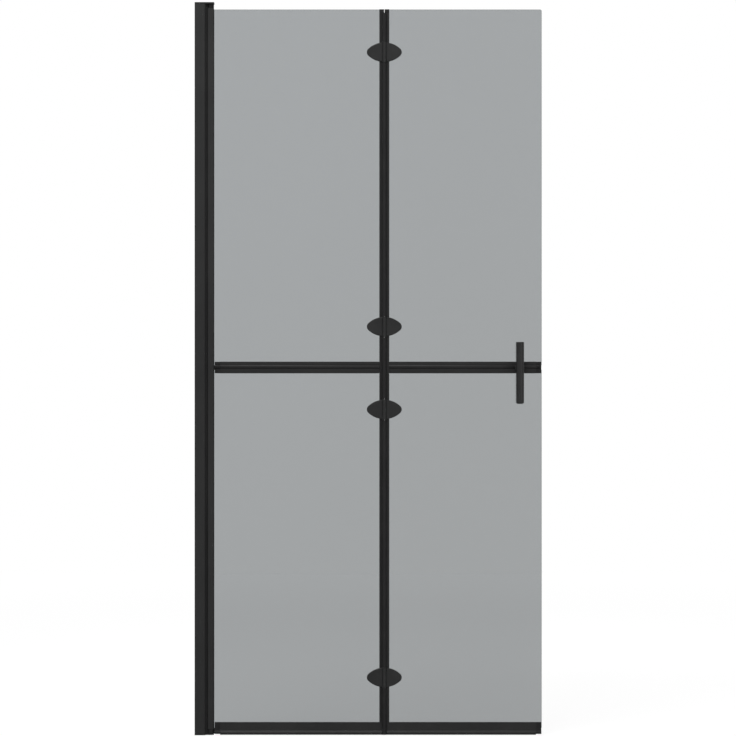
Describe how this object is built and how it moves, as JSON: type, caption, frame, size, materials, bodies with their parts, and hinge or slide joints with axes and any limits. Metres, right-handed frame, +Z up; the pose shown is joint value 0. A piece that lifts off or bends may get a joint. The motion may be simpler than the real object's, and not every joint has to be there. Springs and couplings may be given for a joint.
{
  "type": "walk-in shower screen",
  "caption": "Folding walk-in shower screen: tinted glass panels in black profiles, pivoting at a wall channel and folding on oval hinges, with a bar handle.",
  "frame": {"origin": "on the wall face of the channel, in the middle of the glass thickness, at the level of the tray", "axes": "+X from the wall to the free edge, +Y from the handle side into the shower, +Z up"},
  "size_m": [0.9, 0.0673, 1.9],
  "materials": {
    "black_aluminium": "matt black coated extrusion",
    "hinge_black": "satin black coated casting",
    "handle_black": "satin black coated bar",
    "tinted_glass": "clear grey tempered safety glass, 4 mm",
    "black_plastic": "fine-textured black moulding",
    "black_rubber": "matt black soft seal",
    "stainless_steel": "plain stainless steel"
  },
  "bodies": {
    "wall": {"wall_channel": "black_aluminium", "adjusting_jamb": "black_aluminium", "jamb_lip_seals": "black_rubber", "jamb_screws": "stainless_steel", "jamb_screw_caps": "black_plastic", "top_pivot_cap": "black_plastic", "bottom_pivot_cap": "black_plastic", "pivot_bushes": "black_plastic"},
    "inner_panel": {"pivot_tube": "black_aluminium", "pivot_plugs": "hinge_black", "inner_upper_glass": "tinted_glass", "inner_lower_glass": "tinted_glass", "tube_gaskets": "black_rubber", "inner_mid_rail": "black_aluminium", "mid_rail_bracket": "black_plastic", "inner_rail_gaskets": "black_rubber", "inner_bottom_rail": "black_aluminium", "inner_bottom_cap": "black_plastic", "inner_bottom_seal": "black_rubber", "inner_fold_profile": "black_aluminium", "inner_fold_gaskets": "black_rubber", "inner_fold_cap": "black_plastic", "fold_seal": "black_rubber", "inner_rail_screws": "stainless_steel", "hinge_1_inner_leaf": "hinge_black", "hinge_2_inner_leaf": "hinge_black", "hinge_3_inner_leaf": "hinge_black", "hinge_4_inner_leaf": "hinge_black", "hinge_pins": "stainless_steel", "inner_back_plates": "hinge_black", "inner_hinge_pads": "black_rubber", "inner_hinge_screws": "stainless_steel"},
    "outer_panel": {"outer_upper_glass": "tinted_glass", "outer_lower_glass": "tinted_glass", "outer_mid_rail": "black_aluminium", "outer_bottom_rail": "black_aluminium", "outer_rail_gaskets": "black_rubber", "outer_mid_cap": "black_plastic", "outer_bottom_cap": "black_plastic", "outer_bottom_seal": "black_rubber", "outer_fold_profile": "black_aluminium", "outer_fold_gaskets": "black_rubber", "outer_fold_cap": "black_plastic", "outer_rail_screw": "stainless_steel", "hinge_1_outer_leaf": "hinge_black", "hinge_2_outer_leaf": "hinge_black", "hinge_3_outer_leaf": "hinge_black", "hinge_4_outer_leaf": "hinge_black", "outer_back_plates": "hinge_black", "outer_hinge_pads": "black_rubber", "outer_hinge_screws": "stainless_steel", "hinge_washers": "black_plastic", "handle_bar": "handle_black", "handle_post": "handle_black", "handle_screw": "stainless_steel"}
  },
  "joints": [
    {"name": "wall_pivot", "type": "hinge", "parent": "wall", "child": "inner_panel", "pos_m": [0.041, 0, 0], "axis": [0, 0, 1], "range_deg": [-90, 90]},
    {"name": "fold", "type": "hinge", "parent": "inner_panel", "child": "outer_panel", "pos_m": [0.4916, -0.0106, 0], "axis": [0, 0, -1], "range_deg": [0, 170]}
  ]
}
